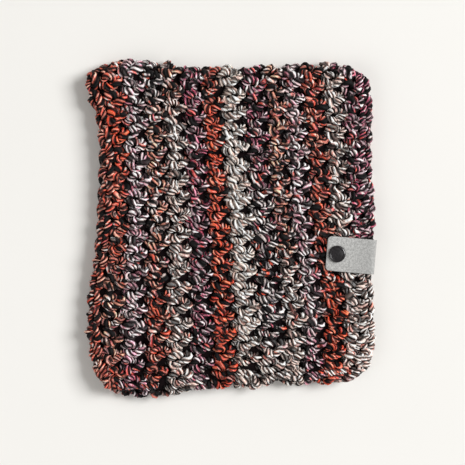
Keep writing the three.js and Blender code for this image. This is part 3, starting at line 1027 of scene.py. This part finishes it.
class SCARF_OT_chains(bpy.types.Operator):
    """Lays the chain that the crochet starts from and the one that ends it, round the two openings"""

    bl_idname = "scarf.chains"
    bl_label = "Edge chains"

    def execute(self, context):
        sizes, colours = context.scene.scarf_sizes, context.scene.scarf_colours
        material = material_of("marled_yarn", yarn_finish)
        rng = np.random.default_rng(SEED + 1)
        feet = np.arange(STITCHES_AROUND + 1.0)
        for chain in CHAINS:
            side = chain["side"]

            def place_of(around, up, side=side):
                left, right = rim_places(around)
                rim = right if side > 0 else left
                return rim + side * (up - CHAIN_FROM_RIM), around

            way = yarn_way(CHAIN_LINK, feet, place_of, rng, CHAIN_CALM)
            piece, around, _ = yarn_piece(chain["name"], way, sizes, 0.0, rng, material, side)
            dye(piece.data, around, chain["round"], colours.shades())
            finished(piece, "yarn")
        return {"FINISHED"}


class SCARF_OT_shade_sheet(bpy.types.Operator):
    """Makes a flattened tube behind the front of the stitches, near black as painted shade of the
    crochet's depth
    """

    bl_idname = "scarf.ground"
    # the cloth behind the stitches is painted shade: a near black tube
    bl_label = "Cloth behind the stitches"

    def execute(self, context):
        thick = context.scene.scarf_sizes.ground / MM
        around = np.arange(0, STITCHES_AROUND, SHADE_SHEET_STEP)
        shares = np.linspace(*SHADE_SHEET_REACH, SHADE_SHEET_RINGS)
        front = [(share, SHADE_SHEET_OUT) for share in shares]
        back = [(share, SHADE_SHEET_OUT - thick) for share in shares[::-1]]
        points = []
        for share, out in front + back:
            left, right = rim_places(around)
            middle, normal = wall_point(mix(left, right, share), around)
            points.append(middle + normal * out)
        points = np.array(points)
        count, n = points.shape[:2]
        i, c = np.meshgrid(np.arange(count), np.arange(n), indexing="ij")
        i, c = i.ravel(), c.ravel()
        after, right = (i + 1) % count, (c + 1) % n
        faces = np.stack([i * n + c, after * n + c, after * n + right, i * n + right], -1)
        material = material_of("inner_yarn", shade_sheet_finish)
        piece = mesh_object("tube_ground", points.reshape(-1, 3) * MM, faces, material)
        finished(piece, "yarn", "cowl_tube")
        return {"FINISHED"}


def use_modifier(piece, kind, **settings):
    """Adds a modifier to the active piece, sets it and applies it."""
    bpy.ops.object.modifier_add(type=kind)
    modifier = piece.modifiers[-1]
    for key, value in settings.items():
        setattr(modifier, key, value)
    bpy.ops.object.modifier_apply(modifier=modifier.name)


def pick_end(piece, way):
    """Selects the faces that point up, for way 1, or down, for way -1, in edit mode."""
    bpy.ops.mesh.select_all(action="DESELECT")
    shape = bmesh.from_edit_mesh(piece.data)
    for face in shape.faces:
        face.select_set(face.normal.z * way > 0.9)
    shape.select_flush(True)
    bmesh.update_edit_mesh(piece.data)


def raise_ring(scale, rise):
    """Extrudes the selected disc by a rise and scales it about its axis."""
    bpy.ops.mesh.extrude_region_move(TRANSFORM_OT_translate={"value": (0, 0, rise * MM)})
    bpy.ops.transform.resize(value=(scale, scale, 1))


def round_blank(name, radius, low, high):
    """A cylinder between two heights round the origin, in millimetres, in edit mode."""
    bpy.ops.object.select_all(action="DESELECT")
    middle = (0, 0, (low + high) / 2 * MM)
    depth = (high - low) * MM
    bpy.ops.mesh.primitive_cylinder_add(vertices=64, radius=radius * MM, depth=depth, location=middle)
    piece = bpy.context.object
    piece.name = name
    bpy.ops.object.transform_apply(location=True)
    bpy.ops.object.mode_set(mode="EDIT")
    return piece


def seat(piece, x, y, z):
    """Softens a snap piece's edges, gives it its finish and puts it on its seat, in millimetres."""
    bpy.ops.object.mode_set(mode="OBJECT")
    settings = {"limit_method": "ANGLE", "angle_limit": math.radians(28)}
    use_modifier(piece, "BEVEL", width=SNAP_BEVEL * MM, segments=2, **settings)
    piece.location = (x * MM, y * MM, z * MM)
    bpy.ops.object.transform_apply(location=True)
    bpy.ops.object.shade_smooth_by_angle(angle=math.radians(40))
    piece.data.materials.append(material_of("snap_resin", snap_finish))


def strip_blank(name, length, width, corner, stations, rows):
    """A flat strip with round corners, cut across at stations and along in rows, in millimetres."""
    bpy.ops.object.select_all(action="DESELECT")
    bpy.ops.mesh.primitive_plane_add(size=1.0, location=(length / 2, 0, 0), calc_uvs=False)
    piece = bpy.context.object
    piece.name = name
    piece.scale = (length, width, 1)
    bpy.ops.object.transform_apply(location=True, scale=True)
    bpy.ops.object.mode_set(mode="EDIT")
    bpy.ops.mesh.select_all(action="SELECT")
    bpy.ops.mesh.bevel(offset=corner, offset_type="OFFSET", segments=6, affect="VERTICES")
    for x in stations:
        bpy.ops.mesh.select_all(action="SELECT")
        bpy.ops.mesh.bisect(plane_co=(x, 0, 0), plane_no=(1, 0, 0))
    for y in rows:
        bpy.ops.mesh.select_all(action="SELECT")
        bpy.ops.mesh.bisect(plane_co=(0, y, 0), plane_no=(0, 1, 0))
    bpy.ops.object.mode_set(mode="OBJECT")
    return piece


class SCARF_OT_tag(bpy.types.Operator):
    """Cuts the tag's strip with round corners, folds it over the opening's edge and pierces it"""

    bl_idname = "scarf.tag"
    bl_label = "Folded tag"

    def execute(self, context):
        sizes = context.scene.scarf_sizes
        leaf, turn, _, _ = tag_lengths(sizes)
        length = leaf + turn + sizes.tag_inner / MM - TAG_TURN
        width, thick = sizes.tag_width / MM, sizes.tag_thickness / MM
        on_leaf = np.linspace(FIRST_CUT, leaf, TAG_CUTS["leaf"])[:-1]
        on_turn = np.linspace(leaf, leaf + turn, TAG_CUTS["turn"])
        on_inner = np.linspace(leaf + turn, length - FIRST_CUT, TAG_CUTS["inner"])[1:]
        stations = [*on_leaf, *on_turn, *on_inner]
        rows = np.linspace(-width / 2, width / 2, TAG_CUTS["rows"])[1:-1]
        tag = strip_blank("tag_strip", length, width, sizes.tag_corner / MM, stations, rows)
        flat = np.array([vertex.co for vertex in tag.data.vertices])
        loops = np.array([loop.vertex_index for loop in tag.data.loops])
        set_map(tag.data, "strip", flat[loops, 0] * MM, flat[loops, 1] * MM)
        folded = tag_place(flat[:, 0], flat[:, 1], sizes) * MM
        tag.data.vertices.foreach_set("co", folded.astype(np.float32).ravel())
        tag.data.materials.append(material_of("faux_leather", tag_finish))
        tag.data.materials.append(material_of("cut_edge", tag_edge_finish))
        solid = {"thickness": thick * MM, "offset": 0.0, "use_even_offset": True}
        use_modifier(tag, "SOLIDIFY", material_offset_rim=1, **solid)
        soft = {"limit_method": "ANGLE", "angle_limit": math.radians(50)}
        use_modifier(tag, "BEVEL", width=TAG_BEVEL * MM, segments=2, **soft)
        x, y = tag_plan(SNAP_FROM_TAG_FOLD, 0.0)
        inside, outside = upper_layer(x, y)
        punch = round_blank("punch", SNAP_HOLE, inside - PUNCH_REACH, outside + PUNCH_REACH)
        bpy.ops.object.mode_set(mode="OBJECT")
        punch.location = (x * MM, y * MM, 0)
        context.view_layer.objects.active = tag
        use_modifier(tag, "BOOLEAN", object=punch, operation="DIFFERENCE", solver="EXACT")
        bpy.data.objects.remove(punch)
        tag.select_set(True)
        bpy.ops.object.shade_smooth_by_angle(angle=math.radians(45))
        finished(tag, "tag", "tag")
        length * MM
        return {"FINISHED"}


class SCARF_OT_snap(bpy.types.Operator):
    """Moulds the snap's cap with its raised ring and post, and the socket behind the tag"""

    bl_idname = "scarf.snap"
    bl_label = "Snap"

    def execute(self, context):
        sizes = context.scene.scarf_sizes
        radius, leaf = sizes.snap / MM, sizes.tag_thickness / MM
        x, y = tag_plan(SNAP_FROM_TAG_FOLD, 0.0)
        inside, outside = upper_layer(x, y)
        front = outside + leaf + 2 * CLEARANCE
        back = inside - leaf - 2 * CLEARANCE

        cap = round_blank("cap_dome", radius, 0.0, CAP_BAND)
        pick_end(cap, 1)
        last, height = radius, CAP_BAND
        for ring in CAP_RINGS:
            now = radius - ring["inwards"]
            raise_ring(now / last, ring["up"] - height)
            last, height = now, ring["up"]
        pick_end(cap, -1)
        raise_ring(SNAP_POST / radius, 0.0)
        raise_ring(1.0, back - SOCKET_DEPTH + CLEARANCE - front)
        seat(cap, x, y, front)
        finished(cap, "snap", "snap_cap")

        socket = round_blank("cap_socket", radius, -SOCKET_THICKNESS, 0.0)
        pick_end(socket, -1)
        bpy.ops.transform.translate(value=(0, 0, SOCKET_EDGE * MM))
        raise_ring(1 - SOCKET_EDGE / radius, -SOCKET_EDGE)
        pick_end(socket, 1)
        raise_ring(SNAP_HOLE / radius, 0.0)
        raise_ring(1.0, -SOCKET_DEPTH)
        seat(socket, x, y, back)
        finished(socket, "snap", "snap_back")
        return {"FINISHED"}


class SCARF_OT_stage(bpy.types.Operator):
    """Adds the pale floor, the soft lights and the camera above"""

    bl_idname = "scarf.stage"
    bl_label = "Floor, lights and camera"

    def execute(self, context):
        bpy.ops.object.select_all(action="DESELECT")
        bpy.ops.mesh.primitive_plane_add(size=FLOOR_WIDTH, location=(0, 0, 0))
        floor = context.object
        floor.name = "floor"
        floor.data.materials.append(material_of("pale_floor", floor_finish))
        for row in LIGHTS:
            light = bpy.data.lights.new(row["name"], "AREA")
            light.energy, light.size = row["power"], row["size"]
            lamp = bpy.data.objects.new(row["name"], light)
            lamp.location = row["place"]
            lamp.rotation_euler = (-lamp.location).to_track_quat("-Z", "Y").to_euler()
            context.scene.collection.objects.link(lamp)
        world = bpy.data.worlds.new("soft_room")
        world.use_nodes = True
        room = world.node_tree.nodes["Background"]
        room.inputs["Color"].default_value = ROOM_COLOUR
        room.inputs["Strength"].default_value = ROOM_STRENGTH
        context.scene.world = world
        context.scene.view_settings.view_transform = "Standard"
        camera = bpy.data.cameras.new("above")
        camera.lens = CAMERA_LENS
        camera.sensor_width = CAMERA_SENSOR
        eye = bpy.data.objects.new("above", camera)
        eye.location = CAMERA_PLACE
        context.scene.collection.objects.link(eye)
        context.scene.camera = eye
        return {"FINISHED"}


class SCARF_PT_panel(bpy.types.Panel):
    """Lists the scarf's sizes and colours, and the operators that build its pieces"""

    bl_idname = "SCARF_PT_panel"
    bl_label = "Scarf"
    bl_space_type = "VIEW_3D"
    bl_region_type = "UI"
    bl_category = "Scarf"

    def draw(self, context):
        for group in (context.scene.scarf_sizes, context.scene.scarf_colours):
            for name in group.__annotations__:
                self.layout.prop(group, name)
        for operator in OPERATORS:
            self.layout.operator(operator.bl_idname)


OPERATORS = (
    SCARF_OT_rounds,
    SCARF_OT_chains,
    SCARF_OT_shade_sheet,
    SCARF_OT_tag,
    SCARF_OT_snap,
    SCARF_OT_stage,
)
CLASSES = (ScarfColours, ScarfSizes, *OPERATORS, SCARF_PT_panel)


def register():
    for cls in CLASSES:
        bpy.utils.register_class(cls)
    bpy.types.Scene.scarf_colours = PointerProperty(type=ScarfColours)
    bpy.types.Scene.scarf_sizes = PointerProperty(type=ScarfSizes)


def unregister():
    del bpy.types.Scene.scarf_sizes
    del bpy.types.Scene.scarf_colours
    for cls in reversed(CLASSES):
        bpy.utils.unregister_class(cls)


def main():
    """Builds the scarf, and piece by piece."""
    register()
    bpy.ops.scarf.rounds()
    bpy.ops.scarf.chains()
    bpy.ops.scarf.ground()
    bpy.ops.scarf.tag()
    bpy.ops.scarf.snap()
    bpy.ops.scarf.stage()


if __name__ == "__main__":
    main()
